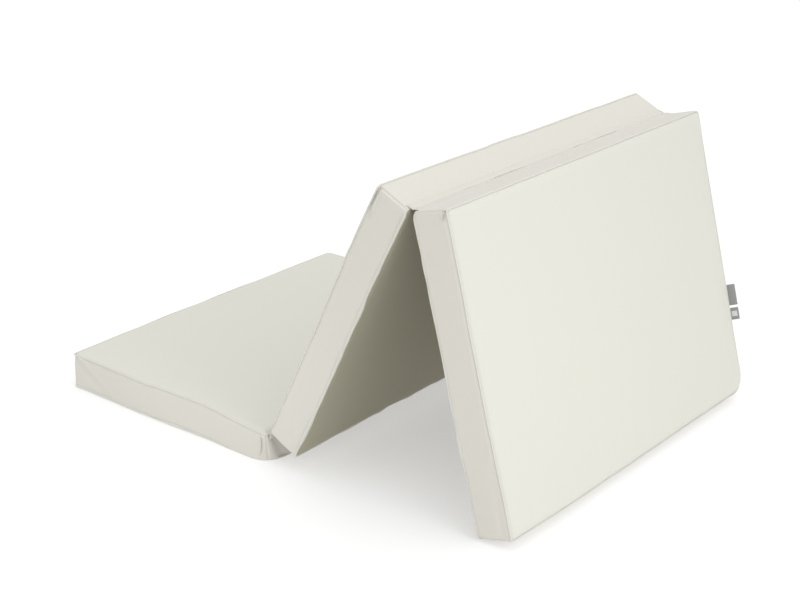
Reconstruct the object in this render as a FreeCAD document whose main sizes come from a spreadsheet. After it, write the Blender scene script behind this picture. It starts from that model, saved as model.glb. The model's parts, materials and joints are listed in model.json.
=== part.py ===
import FreeCAD, Part
import math
import os
import re

import Sketcher

# A three-section fold-up mattress: three equal foam sections in zipped covers, joined
# by two cloth folds on opposite faces, standing as a zig-zag.
#
# Every section is drawn in its own frame: x along the section from the end nearer the
# foot of the mattress, y across it, z from the underside to the lying face.
# In the assembly the origin is the centre of the foot section's underside.

sizes = {
    # one section over its cover
    "section_length": 633,
    "section_width": 900,
    "section_thickness": 80,
    # cover
    "cover_wall": 2.5,
    "seam_width": 6,
    "seam_round": 5,
    "seam_clearance": 0.2,
    # cloth folds between sections
    "fold_gap": 3,
    "fold_bead_radius": 1.2,
    "fold_leaf_wall": 0.8,
    "fold_leaf_reach": 24,
    "fold_end_inset": 12,
    "fold_clearance": 0.4,
    # zips in the far bands
    "zip_inset": 60,
    "zip_slot_height": 20,
    "tape_wall": 0.7,
    "coil_height": 2.6,
    "coil_depth": 2.2,
    "stop_length": 3,
    "running_clearance": 0.2,
    "groove_clearance": 0.4,
    # zip sliders
    "slider_length": 12,
    "slider_wall": 1.2,
    "flange_wall": 1,
    "bridge_length": 4,
    "bridge_width": 1,
    "lug_length": 4,
    "lug_width": 2,
    "lug_roof": 1,
    # zip pulls
    "pin_radius": 0.7,
    "pin_clearance": 0.08,
    "pull_lift": 0.8,
    "arm_wall": 1.3,
    "arm_reach": 4.5,
    "pull_wall": 1.2,
    "pull_width": 7,
    "pull_length": 28,
    # woven tab labels in the head section's seam
    "label_wall": 1,
    "label_reach": 20,
    "upper_label_start": 394,
    "upper_label_length": 47,
    "label_spacing": 6,
    "lower_label_length": 27,
    "patch_wall": 0.3,
    "patch_side": 12,
    # stance
    "middle_lean": 63.5,
}

doc = FreeCAD.newDocument("fold_up_mattress")
sheet = doc.addObject("Spreadsheet::Sheet", "Sizes")
for row, (alias, value) in enumerate(sizes.items(), start=1):
    sheet.set(f"A{row}", alias)
    sheet.set(f"B{row}", str(value))
    sheet.setAlias(f"B{row}", alias)
doc.recompute()


def size(alias):
    return float(sheet.get(alias))


def bound(text):
    # an expression on the sheet's aliases, written with the aliases alone
    return re.sub(r"[a-z][a-z_]+", lambda word: "Sizes." + word.group(), text)


# ---- spans, each a pair of expressions, low and high ----

width_low, width_high = "-section_width / 2", "section_width / 2"
mid_height = "section_thickness / 2"
tape_plane = "section_width / 2 - cover_wall / 2"
row_gap = "(bridge_width / 2 + running_clearance)"
row_top = f"({row_gap} + coil_height)"
slider_half = f"({row_top} + running_clearance + flange_wall)"
channel_half = "(coil_depth / 2 + running_clearance)"
plate_face = f"({tape_plane} + {channel_half} + slider_wall)"
pin_rise = "(pull_wall / 2 + pull_lift)"
pin_line = f"({plate_face} + {pin_rise})"


def inset_span(low, high, inset):
    return (f"{low} + ({inset})", f"{high} - ({inset})")


def around(centre, half):
    return (f"{centre} - ({half})", f"{centre} + ({half})")


def along(start, end, from_far_end):
    # a stretch of the section's length, counted from either of its ends
    if from_far_end:
        return (f"section_length - ({end})", f"section_length - ({start})")
    return (start, end)


full_length = ("0", "section_length")
band_height = ("seam_width", "section_thickness - seam_width")
zip_span = ("zip_inset", "section_length - zip_inset")
slot_height = around(mid_height, "zip_slot_height / 2")

# ---- features ----


def new_body(name):
    body = doc.addObject("PartDesign::Body", name)
    body.Label = name
    body.AllowCompound = True
    return body


def plane(body, role):
    return next(feature for feature in body.Origin.OriginFeatures if feature.Role == role)


def new_sketch(body, role, offset):
    sketch = body.newObject("Sketcher::SketchObject", body.Name + "_sketch")
    sketch.AttachmentSupport = [(plane(body, role), "")]
    sketch.MapMode = "FlatFace"
    for axis, text in zip("xyz", offset):
        sketch.setExpression(".AttachmentOffset.Base." + axis, bound(text))
    return sketch


draft = 9  # a drawn side's length, or a circle's radius, before its expression sets it


def draw_rectangle(sketch, x_span, y_span):
    corners = [FreeCAD.Vector(x, y, 0) for x, y in ((0, 0), (draft, 0), (draft, draft), (0, draft))]
    for number, corner in enumerate(corners):
        sketch.addGeometry(Part.LineSegment(corner, corners[(number + 1) % 4]), False)
    for number in range(4):
        sketch.addConstraint(Sketcher.Constraint("Coincident", number, 2, (number + 1) % 4, 1))
        level = "Vertical" if number % 2 else "Horizontal"
        sketch.addConstraint(Sketcher.Constraint(level, number))
    sketch.addConstraint(Sketcher.Constraint("Coincident", 0, 1, -1, 1))
    for side, kind, name, span in ((0, "DistanceX", "run", x_span), (1, "DistanceY", "rise", y_span)):
        index = sketch.addConstraint(Sketcher.Constraint(kind, side, 1, side, 2, draft))
        sketch.renameConstraint(index, name)
        sketch.setExpression("Constraints." + name, bound(f"({span[1]}) - ({span[0]})"))


def draw_circle(sketch, radius):
    sketch.addGeometry(Part.Circle(FreeCAD.Vector(0, 0, 0), FreeCAD.Vector(0, 0, 1), draft), False)
    sketch.addConstraint(Sketcher.Constraint("Coincident", 0, 3, -1, 1))
    index = sketch.addConstraint(Sketcher.Constraint("Radius", 0, draft))
    sketch.renameConstraint(index, "radius")
    sketch.setExpression("Constraints.radius", bound(radius))


def sweep_profile(body, kind, sketch, span):
    feature = body.newObject("PartDesign::" + kind, f"{body.Name}_{kind}")
    feature.Profile = sketch
    feature.setExpression("Length", bound(f"({span[1]}) - ({span[0]})"))
    body.Tip = feature
    doc.recompute()


def add_profile(body, sketch, span):
    sweep_profile(body, "Pad", sketch, span)


def cut_profile(body, sketch, span):
    before = body.Shape.Volume
    sweep_profile(body, "Pocket", sketch, span)
    if body.Shape.Volume >= before:
        raise RuntimeError(f"{body.Label}: a pocket cuts nothing")


def add_block(body, x_span, y_span, z_span):
    sketch = new_sketch(body, "XY_Plane", (x_span[0], y_span[0], z_span[0]))
    draw_rectangle(sketch, x_span, y_span)
    add_profile(body, sketch, z_span)


def cut_block(body, x_span, y_span, z_span):
    sketch = new_sketch(body, "XY_Plane", (x_span[0], y_span[0], z_span[1]))
    draw_rectangle(sketch, x_span, y_span)
    cut_profile(body, sketch, z_span)


def add_pin(body, x, y, z_span, radius):
    sketch = new_sketch(body, "XY_Plane", (x, y, z_span[0]))
    draw_circle(sketch, radius)
    add_profile(body, sketch, z_span)


def cut_bore(body, x, y, z_span, radius):
    sketch = new_sketch(body, "XY_Plane", (x, y, z_span[1]))
    draw_circle(sketch, radius)
    cut_profile(body, sketch, z_span)


def add_cross_bead(body, x, z, y_span, radius):
    # a round bead across the section, drawn on the XZ plane, whose normal is -Y
    sketch = new_sketch(body, "XZ_Plane", (x, z, f"-({y_span[1]})"))
    draw_circle(sketch, radius)
    add_profile(body, sketch, y_span)


def round_edges(body, radius, wanted):
    # wanted(first, last) picks straight edges by their two end points
    base = body.Tip
    names = []
    for number, edge in enumerate(base.Shape.Edges, start=1):
        if len(edge.Vertexes) == 2 and wanted(edge.Vertexes[0].Point, edge.Vertexes[1].Point):
            names.append(f"Edge{number}")
    fillet = body.newObject("PartDesign::Fillet", body.Name + "_round")
    fillet.Base = (base, names)
    fillet.setExpression("Radius", bound(radius))
    body.Tip = fillet
    doc.recompute()
    return len(names)


# ---- cover and core of one section ----


def make_foam_core(section):
    body = new_body(section + "_foam_core")
    add_block(body, inset_span("0", "section_length", "cover_wall"),
              inset_span(width_low, width_high, "cover_wall"), band_height)
    add_block(body, inset_span("0", "section_length", "seam_width"),
              inset_span(width_low, width_high, "seam_width"),
              inset_span("0", "section_thickness", "cover_wall"))
    groove_floor = f"{tape_plane} - {channel_half} - slider_wall - groove_clearance"
    groove = around(mid_height, f"({slider_half} + groove_clearance)")
    cut_block(body, zip_span, (groove_floor, width_high), groove)
    return body


def make_panel(section, name, z_span):
    body = new_body(f"{section}_{name}")
    add_block(body, inset_span("0", "section_length", "seam_width"),
              inset_span(width_low, width_high, "seam_width"), z_span)
    return body


def make_seam(section, name, z_span, on_top):
    # four rolled seam runs round one edge of the cover, rounded on the outside
    body = new_body(f"{section}_{name}")
    for y_span in ((width_low, f"{width_low} + seam_width"), (f"{width_high} - seam_width", width_high)):
        add_block(body, full_length, y_span, z_span)
    between = inset_span(width_low, width_high, "seam_width + seam_clearance")
    for x_span in (("0", "seam_width"), ("section_length - seam_width", "section_length")):
        add_block(body, x_span, between, z_span)
    half_width = size("section_width") / 2
    level = size("section_thickness") if on_top else 0
    hair = 1e-6

    def outside(first, last):
        if abs(first.z - level) > hair or abs(last.z - level) > hair:
            return False
        lengthwise = abs(abs(first.y) - half_width) < hair and abs(first.y - last.y) < hair
        crosswise = (min(first.x, size("section_length") - first.x) < hair
                     and abs(first.x - last.x) < hair)
        return lengthwise or crosswise

    outer_edges = 4 + 4  # one along each run, and one at each end of the long runs
    if round_edges(body, "seam_round", outside) != outer_edges:
        raise RuntimeError(f"{body.Label}: {outer_edges} outer edges were expected")
    return body


def make_side_band(section, name, y_span):
    body = new_body(f"{section}_{name}")
    add_block(body, full_length, y_span, band_height)
    return body


def make_end_band(section, name, x_span):
    body = new_body(f"{section}_{name}")
    add_block(body, x_span, inset_span(width_low, width_high, "cover_wall"), band_height)
    return body


def make_far_band(section):
    # slotted for the zip
    body = make_side_band(section, "far_band", (f"{width_high} - cover_wall", width_high))
    cut_block(body, zip_span, (f"{width_high} - 2 * cover_wall", f"{width_high} + cover_wall"),
              slot_height)
    return body


def make_cover(section):
    return [
        make_panel(section, "top_panel", ("section_thickness - cover_wall", "section_thickness")),
        make_panel(section, "under_panel", ("0", "cover_wall")),
        make_seam(section, "top_seam", ("section_thickness - seam_width", "section_thickness"), True),
        make_seam(section, "under_seam", ("0", "seam_width"), False),
        make_side_band(section, "near_band", (width_low, f"{width_low} + cover_wall")),
        make_far_band(section),
        make_end_band(section, "foot_end_band", ("0", "cover_wall")),
        make_end_band(section, "head_end_band", ("section_length - cover_wall", "section_length")),
    ]


# ---- zip ----


def make_zip(section, from_far_end):
    # tapes, two coil rows, three end stops; the closed end is where the slider rests
    parts = []
    depth = around(tape_plane, "tape_wall / 2")
    coil_depth = around(tape_plane, "coil_depth / 2")
    toothed = inset_span(zip_span[0], zip_span[1], "stop_length")
    for name, tape_rise, coil_rise in (
        ("upper", (f"{mid_height} + {row_top}", slot_height[1]),
         (f"{mid_height} + {row_gap}", f"{mid_height} + {row_top}")),
        ("lower", (slot_height[0], f"{mid_height} - {row_top}"),
         (f"{mid_height} - {row_top}", f"{mid_height} - {row_gap}")),
    ):
        tape = new_body(f"{section}_zip_{name}_tape")
        add_block(tape, zip_span, depth, tape_rise)
        coil = new_body(f"{section}_zip_{name}_coil")
        add_block(coil, toothed, coil_depth, coil_rise)
        parts += [tape, coil]
    stops = new_body(section + "_zip_stops")
    closed_end = along("zip_inset", "zip_inset + stop_length", from_far_end)
    open_end = along("zip_inset", "zip_inset + stop_length", not from_far_end)
    for coil_rise in ((f"{mid_height} + {row_gap}", f"{mid_height} + {row_top}"),
                      (f"{mid_height} - {row_top}", f"{mid_height} - {row_gap}")):
        add_block(stops, closed_end, coil_depth, coil_rise)
    add_block(stops, open_end, coil_depth, around(mid_height, row_top))
    return parts + [stops]


slider_start = "zip_inset + stop_length + running_clearance"
pin_place = f"{slider_start} + slider_length / 2"


def make_slider(section, from_far_end):
    body = new_body(section + "_zip_slider")
    length = along(slider_start, f"{slider_start} + slider_length", from_far_end)
    bridge = along(f"{slider_start} + slider_length - bridge_length",
                   f"{slider_start} + slider_length", from_far_end)
    height = around(mid_height, slider_half)
    outer = (f"{tape_plane} + {channel_half}", plate_face)
    inner = (f"{tape_plane} - {channel_half} - slider_wall", f"{tape_plane} - {channel_half}")
    add_block(body, bridge, (inner[0], outer[1]), around(mid_height, "bridge_width / 2"))
    for plate in (outer, inner):
        add_block(body, length, plate, height)
    lip = "(tape_wall / 2 + running_clearance)"
    for flange_rise in ((f"{mid_height} + {slider_half} - flange_wall", height[1]),
                        (height[0], f"{mid_height} - {slider_half} + flange_wall")):
        add_block(body, length, (f"{tape_plane} + {lip}", outer[1]), flange_rise)
        add_block(body, length, (inner[0], f"{tape_plane} - {lip}"), flange_rise)
    pin = along(pin_place, pin_place, from_far_end)[0]
    lug_rise = around(mid_height, "lug_width / 2")
    roof = f"{pin_line} + pin_radius + pin_clearance + lug_roof"
    add_block(body, around(pin, "lug_length / 2"), (f"{plate_face} - slider_wall / 2", roof), lug_rise)
    cut_bore(body, pin, pin_line, around(mid_height, "lug_width"), "pin_radius + pin_clearance")
    return body


def make_pull(section, from_far_end):
    body = new_body(section + "_zip_pull")
    pin = along(pin_place, pin_place, from_far_end)[0]
    inner_arm = "(lug_width / 2 + running_clearance)"
    outer_arm = f"({inner_arm} + arm_wall)"
    add_pin(body, pin, pin_line, around(mid_height, outer_arm), "pin_radius")
    depth = around(pin_line, "pull_wall / 2")
    arm = along(f"{pin_place} - arm_reach", f"{pin_place} + pin_radius", from_far_end)
    for rise in ((f"{mid_height} + {inner_arm}", f"{mid_height} + {outer_arm}"),
                 (f"{mid_height} - {outer_arm}", f"{mid_height} - {inner_arm}")):
        add_block(body, arm, depth, rise)
    tab = along(f"{pin_place} - pull_length", f"{pin_place} - arm_reach", from_far_end)
    add_block(body, tab, depth, around(mid_height, "pull_width / 2"))
    return body


# ---- cloth folds ----

fold_width = inset_span(width_low, width_high, "fold_end_inset")


def make_fold_bead_leaf(name, on_top):
    # the parent's leaf: cloth on the end band that rises to a rolled bead on the fold line
    body = new_body(name)
    axis_level = "section_thickness + fold_gap / 2" if on_top else "-fold_gap / 2"
    leaf = (("section_thickness - fold_leaf_reach", axis_level) if on_top
            else (axis_level, "fold_leaf_reach"))
    add_block(body, ("section_length", "section_length + fold_leaf_wall"), fold_width, leaf)
    add_cross_bead(body, "section_length + fold_gap / 2", axis_level, fold_width, "fold_bead_radius")
    return body


def make_fold_leaf(name, on_top):
    # the child's leaf, on the end band that faces the bead
    body = new_body(name)
    rise = (("section_thickness - fold_leaf_reach", "section_thickness - fold_clearance") if on_top
            else ("fold_clearance", "fold_leaf_reach"))
    add_block(body, ("-fold_leaf_wall", "0"), fold_width, rise)
    return body


# ---- tab labels ----


def make_labels():
    seat = "section_thickness - seam_width"
    plate = (f"{seat} - label_wall", seat)
    reach = (width_high, f"{width_high} + label_reach")
    upper = new_body("upper_tab_label")
    upper_end = "upper_label_start + upper_label_length"
    add_block(upper, ("upper_label_start", upper_end), reach, plate)
    lower = new_body("lower_tab_label")
    lower_span = (f"{upper_end} + label_spacing", f"{upper_end} + label_spacing + lower_label_length")
    add_block(lower, lower_span, reach, plate)
    patch = new_body("lower_tab_patch")
    patch_middle = f"{lower_span[0]} + lower_label_length / 2"
    add_block(patch, around(patch_middle, "patch_side / 2"),
              around(f"{width_high} + label_reach / 2", "patch_side / 2"),
              (seat, f"{seat} + patch_wall"))
    return [upper, lower, patch]


# ---- stance: where each section's frame stands ----


def turned(lean):
    # a section whose length climbs at the given angle, in degrees, towards +X
    return FreeCAD.Rotation(FreeCAD.Vector(0, 1, 0), -lean)


def hung_on(axis_point, lean, local_axis):
    rotation = turned(lean)
    return FreeCAD.Placement(axis_point - rotation.multVec(local_axis), rotation)


length, thickness, gap = size("section_length"), size("section_thickness"), size("fold_gap")
top_fold_start = FreeCAD.Vector(-gap / 2, 0, thickness + gap / 2)
top_fold_end = FreeCAD.Vector(length + gap / 2, 0, thickness + gap / 2)
under_fold_start = FreeCAD.Vector(-gap / 2, 0, -gap / 2)
under_fold_end = FreeCAD.Vector(length + gap / 2, 0, -gap / 2)

foot_place = FreeCAD.Placement(FreeCAD.Vector(-length / 2, 0, 0), FreeCAD.Rotation())
lower_axis = foot_place.multVec(top_fold_end)
middle_place = hung_on(lower_axis, size("middle_lean"), top_fold_start)
upper_axis = middle_place.multVec(under_fold_end)

# the head section leans until the rounded lower edge of its underside rests on the floor
edge_round = size("seam_round")
edge_run = length - edge_round + gap / 2
edge_rise = edge_round + gap / 2
head_lean = math.degrees(
    math.asin((upper_axis.z - edge_round) / math.hypot(edge_run, edge_rise))
    + math.atan2(edge_rise, edge_run)
)
head_place = hung_on(upper_axis, -head_lean, under_fold_start)

# ---- assembly ----

subparts = []


def keep(parts, placement):
    for part in parts:
        part.Placement = placement
        subparts.append(part)


sections = (("foot", foot_place, False), ("middle", middle_place, False), ("head", head_place, True))
for section, placement, closed_at_head_end in sections:
    keep([make_foam_core(section)], placement)
    keep(make_cover(section), placement)
    keep(make_zip(section, closed_at_head_end), placement)
    keep([make_slider(section, closed_at_head_end), make_pull(section, closed_at_head_end)], placement)

keep([make_fold_bead_leaf("lower_fold_foot_leaf", True)], foot_place)
keep([make_fold_leaf("lower_fold_middle_leaf", True)], middle_place)
keep([make_fold_bead_leaf("upper_fold_middle_leaf", False)], middle_place)
keep([make_fold_leaf("upper_fold_head_leaf", False)], head_place)
keep(make_labels(), head_place)
doc.recompute()

# ---- check and write ----

for item in doc.Objects:
    if any(state in ("Invalid", "Error") for state in item.State):
        raise RuntimeError(f"{item.Label} failed: {item.State}")
for part in subparts:
    if part.Shape.isNull() or not part.Shape.isValid() or part.Shape.Volume <= 0:
        raise RuntimeError(f"{part.Label} has no valid shape")

os.makedirs("parts", exist_ok=True)
for part in subparts:
    part.Shape.exportStep(f"parts/{part.Label}.step")

print(len(subparts), "sub-parts written")
print("lower fold axis", lower_axis, "upper fold axis", upper_axis)
print("head lean", head_lean)
slider_rest = size("zip_inset") + size("stop_length") + size("running_clearance")
print("slider travel", length - 2 * slider_rest - size("slider_length"))
pin_reach = (size("section_width") / 2 - size("cover_wall") / 2 + size("coil_depth") / 2
             + size("running_clearance") + size("slider_wall") + size("pull_wall") / 2
             + size("pull_lift"))
for section, placement, closed_at_head_end in sections:
    pin_run = slider_rest + size("slider_length") / 2
    if closed_at_head_end:
        pin_run = length - pin_run
    print(section, "pull pin", placement.multVec(FreeCAD.Vector(pin_run, pin_reach, thickness / 2)))
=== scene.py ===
import json
import math

import bpy
import numpy as np
from mathutils import Matrix, Quaternion, Vector, noise


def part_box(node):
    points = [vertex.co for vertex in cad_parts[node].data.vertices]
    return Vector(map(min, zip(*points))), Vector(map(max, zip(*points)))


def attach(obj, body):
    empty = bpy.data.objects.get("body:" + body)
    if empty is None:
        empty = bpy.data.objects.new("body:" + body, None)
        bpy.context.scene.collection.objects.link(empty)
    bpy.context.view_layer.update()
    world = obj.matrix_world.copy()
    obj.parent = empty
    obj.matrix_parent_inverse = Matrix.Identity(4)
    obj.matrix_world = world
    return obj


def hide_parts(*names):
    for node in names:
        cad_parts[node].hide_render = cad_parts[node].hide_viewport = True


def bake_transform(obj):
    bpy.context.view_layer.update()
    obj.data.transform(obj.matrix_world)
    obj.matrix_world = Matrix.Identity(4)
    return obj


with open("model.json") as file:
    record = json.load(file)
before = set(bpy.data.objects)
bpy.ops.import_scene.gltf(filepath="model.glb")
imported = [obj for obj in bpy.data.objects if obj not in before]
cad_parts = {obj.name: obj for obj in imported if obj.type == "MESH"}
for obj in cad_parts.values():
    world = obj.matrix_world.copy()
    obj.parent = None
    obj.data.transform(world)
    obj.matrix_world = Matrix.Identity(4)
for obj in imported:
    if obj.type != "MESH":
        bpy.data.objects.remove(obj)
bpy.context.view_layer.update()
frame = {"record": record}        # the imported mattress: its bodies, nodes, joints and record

# Three zipped foam sections joined by two cloth folds. A section's cover is puffed up as one
# closed slab in the section's own frame (x along it, y across, z up through the foam), then
# shaped, carried to its place and parted into its panels and bands.

jointFacts = {joint["name"]: joint for joint in frame["record"]["behaviour"]["joints"]}
mm = 0.001

mattress = {
    "sections": ("foot", "middle", "head"),
    "length": 633 * mm,
    "width": 900 * mm,
    "thickness": 80 * mm,
    "foldGap": 3 * mm,
}
length, width, thickness = mattress["length"], mattress["width"], mattress["thickness"]
halfWidth = width / 2


# ways of working on one object at a time

def deselectAll():
    if bpy.context.mode != "OBJECT":
        bpy.ops.object.mode_set(mode="OBJECT")
    bpy.ops.object.select_all(action="DESELECT")


def activate(piece):
    deselectAll()
    piece.select_set(True)
    bpy.context.view_layer.objects.active = piece


def addGrid(name, cellsAlong, cellsAcross):
    # a flat unit square of cells, centred on the origin
    deselectAll()
    bpy.ops.mesh.primitive_grid_add(x_subdivisions=cellsAlong, y_subdivisions=cellsAcross, size=1)
    piece = bpy.context.object
    piece.name = name
    return piece


def unfold(piece):
    # flat coordinates in metres, taken from the side that each face looks to
    activate(piece)
    bpy.ops.object.mode_set(mode="EDIT")
    bpy.ops.mesh.select_all(action="SELECT")
    bpy.ops.uv.cube_project(cube_size=1, correct_aspect=False)
    bpy.ops.object.mode_set(mode="OBJECT")


def editWith(piece, kind, chosen):
    # opens the piece in edit mode with only the chosen edges or faces selected
    activate(piece)
    bpy.ops.object.mode_set(mode="EDIT")
    bpy.ops.mesh.select_mode(type=kind)
    bpy.ops.mesh.select_all(action="DESELECT")
    bpy.ops.object.mode_set(mode="OBJECT")
    parts = piece.data.edges if kind == "EDGE" else piece.data.polygons
    parts.foreach_set("select", np.asarray(chosen, bool))
    bpy.ops.object.mode_set(mode="EDIT")


def splitOff(piece, kind, chosen, copied=False):
    # makes the chosen edges or faces, or a copy of them, an object of their own
    editWith(piece, kind, chosen)
    if copied:
        bpy.ops.mesh.duplicate()
    bpy.ops.mesh.separate(type="SELECTED")
    bpy.ops.object.mode_set(mode="OBJECT")
    return next(obj for obj in bpy.context.selected_objects if obj != piece)


def settle(piece):
    # leaves the piece at the origin, unturned and unscaled, with its place in its mesh
    activate(piece)
    bpy.ops.object.transform_apply(location=True, rotation=True, scale=True)


def applyModifier(piece, name, kind, **settings):
    activate(piece)
    modifier = piece.modifiers.new(name, kind)
    for key, value in settings.items():
        setattr(modifier, key, value)
    bpy.ops.object.modifier_apply(modifier=name)


def readOut(items, name, width=3, kind=float):
    # a row of numbers for each item
    flat = np.empty(len(items) * width, kind)
    items.foreach_get(name, flat)
    return flat.reshape(-1, width)


def pointsOf(piece):
    return readOut(piece.data.vertices, "co")


def setPoints(piece, points):
    piece.data.vertices.foreach_set("co", np.ascontiguousarray(points, dtype=float).ravel())
    piece.data.update()


def panelNumbers(piece):
    return readOut(piece.data.polygons, "material_index", 1, int)[:, 0]


def normalsOf(piece):
    return readOut(piece.data.vertex_normals, "vector")


def cutOf(piece):
    # where each point was on the flat, unpuffed cover
    return readOut(piece.data.attributes["cut"].data, "vector")


def keepAboveFloor(piece):
    points = pointsOf(piece)
    points[:, 2] = np.maximum(points[:, 2], 0)
    setPoints(piece, points)


def edgeEnds(piece):
    return readOut(piece.data.edges, "vertices", 2, int)


def fade(values, reach):
    # 1 at zero, smoothly down to 0 at reach
    share = np.clip(1 - np.abs(values) / reach, 0, 1)
    return share * share * (3 - 2 * share)


def ripple(points, scale, seed):
    return np.array([noise.noise(Vector(point) * scale + Vector((seed, 0, 0))) for point in points])


# materials

class Number:
    # a number socket that ordinary arithmetic can use
    def __init__(self, finish, socket):
        self.finish, self.socket = finish, socket

    def calc(self, operation, *operands):
        made = self.finish.node("ShaderNodeMath", {"operation": operation}, dict(enumerate(operands)))
        return Number(self.finish, made.outputs[0])

    def __add__(self, other):
        return self.calc("ADD", self, other)

    def __radd__(self, other):
        return self.calc("ADD", other, self)

    def __sub__(self, other):
        return self.calc("SUBTRACT", self, other)

    def __rsub__(self, other):
        return self.calc("SUBTRACT", other, self)

    def __mul__(self, other):
        return self.calc("MULTIPLY", self, other)

    def __rmul__(self, other):
        return self.calc("MULTIPLY", other, self)

    def sine(self):
        return self.calc("SINE", self)


class Finish:
    def __init__(self, name, constants):
        self.material = bpy.data.materials.new(name)
        self.material.use_nodes = True
        self.tree = self.material.node_tree
        self.shader = self.tree.nodes["Principled BSDF"]
        for socket, value in constants.items():
            self.shader.inputs[socket].default_value = value

    def node(self, kind, settings=None, values=None):
        made = self.tree.nodes.new(kind)
        for key, value in (settings or {}).items():
            setattr(made, key, value)
        for key, value in (values or {}).items():
            self.put(made.inputs[key], value)
        return made

    def put(self, socket, value):
        if isinstance(value, Number):
            value = value.socket
        if isinstance(value, bpy.types.NodeSocket):
            self.tree.links.new(value, socket)
        else:
            socket.default_value = value

    def feed(self, name, value):
        self.put(self.shader.inputs[name], value)

    def spots(self, output, scale):
        # coordinates in metres, scaled
        where = self.node("ShaderNodeTexCoord").outputs[output]
        values = {"Vector": where, "Scale": (scale, scale, scale)}
        return self.node("ShaderNodeMapping", {}, values).outputs[0]

    def noise(self, spots, detail=2):
        values = {"Vector": spots, "Scale": 1, "Detail": detail, "Roughness": 0.5}
        return Number(self, self.node("ShaderNodeTexNoise", {}, values).outputs[0])

    def blendColours(self, share, first, second):
        # second is a colour or another blend
        last = second if isinstance(second, bpy.types.NodeSocket) else (*second, 1)
        made = self.node("ShaderNodeMix", {"data_type": "RGBA"}, {0: share, 6: (*first, 1), 7: last})
        return made.outputs[2]

    def bump(self, height, distance):
        made = self.node("ShaderNodeBump", {}, {"Height": height, "Distance": distance, "Strength": 1})
        self.feed("Normal", made.outputs[0])


def weaveHeight(finish, thread):
    # over and under of a plain weave, from the piece's own flat coordinates
    turnsPerMetre = math.pi / thread
    spots = finish.spots("UV", turnsPerMetre)
    split = finish.node("ShaderNodeSeparateXYZ", {}, {0: spots})
    warp, weft = Number(finish, split.outputs[0]), Number(finish, split.outputs[1])
    return warp.sine() * weft.sine() * 0.5 + 0.5


def makeCloth(name, look):
    finish = Finish(name, {"Roughness": look["roughness"], "Sheen Weight": look["sheen"],
                           "Sheen Roughness": look["sheenSpread"], "Specular IOR Level": look["gloss"]})
    weave = weaveHeight(finish, look["thread"])
    patches = finish.noise(finish.spots("Object", look["patchScale"]), detail=3)
    fibres = finish.noise(finish.spots("UV", look["fibreScale"]), detail=1)
    tone = finish.blendColours(patches, look["warm"], look["cool"])
    # painted shade: the gaps between the weave's threads are blended towards the darker gap colour; the fibre
    # speckle is the cloth's own random tone
    gapShadeAndFibres = (1 - weave) * look["gapShade"] + fibres * look["fibreShade"]
    colour = finish.blendColours(1 - gapShadeAndFibres, look["gap"], tone)
    finish.feed("Base Color", colour)
    smoothest = look["roughness"] - look["fibreRoughness"] / 2
    finish.feed("Roughness", fibres * look["fibreRoughness"] + smoothest)
    finish.bump(weave * look["weaveBump"] + fibres * look["fibreBump"], look["bumpDepth"])
    return finish.material


ivoryCloth = {
    "warm": (0.655, 0.640, 0.572), "cool": (0.632, 0.634, 0.582), "gap": (0.48, 0.47, 0.41),
    "gapShade": 0.10, "fibreShade": 0.05, "patchScale": 4.5, "thread": 0.9 * mm, "weaveBump": 0.7,
    "fibreScale": 900, "fibreBump": 0.25, "fibreRoughness": 0.12, "bumpDepth": 0.12 * mm,
    "roughness": 0.82, "sheen": 0.18, "sheenSpread": 0.5, "gloss": 0.25,
}
bandTint = {"warm": (0.665, 0.635, 0.575), "cool": (0.640, 0.628, 0.578)}
# painted shade: the under panels get a darker olive cloth that stands in for the shade under and inside the
# folded sections
underPaintedShadeTint = {"warm": (0.35, 0.325, 0.240), "cool": (0.33, 0.315, 0.240), "gap": (0.25, 0.23, 0.17)}
greyTint = {"warm": (0.33, 0.33, 0.325), "cool": (0.29, 0.29, 0.29), "gap": (0.16, 0.16, 0.16)}
paleTint = {"warm": (0.66, 0.66, 0.64), "cool": (0.60, 0.60, 0.59), "gap": (0.4, 0.4, 0.4)}
finishes = {
    "cover_cloth": makeCloth("ivoryCoverCloth", ivoryCloth),
    "under_cloth": makeCloth("underClothPaintedShade", {**ivoryCloth, **underPaintedShadeTint, "thread": 1.1 * mm}),
    "band_cloth": makeCloth("ivoryBandCloth", {**ivoryCloth, **bandTint}),
    "seam_cloth": makeCloth("ivorySeamCloth", {**ivoryCloth, "thread": 0.7 * mm}),
    "fold_cloth": makeCloth("ivoryFoldCloth", {**ivoryCloth, **bandTint}),
    "zip_tape": makeCloth("zipTwill", {**ivoryCloth, "thread": 0.6 * mm, "weaveBump": 1.0}),
    "label_cloth": makeCloth("greyTabWeave", {
        **ivoryCloth, **greyTint, "gapShade": 0.35, "patchScale": 60, "thread": 0.7 * mm,
        "weaveBump": 1.0, "bumpDepth": 0.15 * mm}),
    "label_patch": makeCloth("paleTabPatch", {**ivoryCloth, **paleTint, "thread": 0.6 * mm}),
}


foam = {"pale": (0.86, 0.80, 0.60), "deep": (0.82, 0.77, 0.58), "poreShade": (0.66, 0.60, 0.42),
        "patchScale": 12, "cellScale": 700, "cellDepth": 0.4 * mm}


def makeFoam():
    finish = Finish("creamFoam", {"Roughness": 0.95, "Sheen Weight": 0.1})
    values = {"Vector": finish.spots("Object", 1), "Scale": foam["cellScale"]}
    holes = Number(finish, finish.node("ShaderNodeTexVoronoi", {}, values).outputs["Distance"])
    tint = finish.noise(finish.spots("Object", foam["patchScale"]))
    tone = finish.blendColours(tint, foam["pale"], foam["deep"])
    # painted shade: the pits of the foam cells are blended towards a darker colour, the same pits that the
    # bump sinks
    finish.feed("Base Color", finish.blendColours(holes, foam["poreShade"], tone))
    finish.bump(holes, foam["cellDepth"])
    return finish.material


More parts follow.
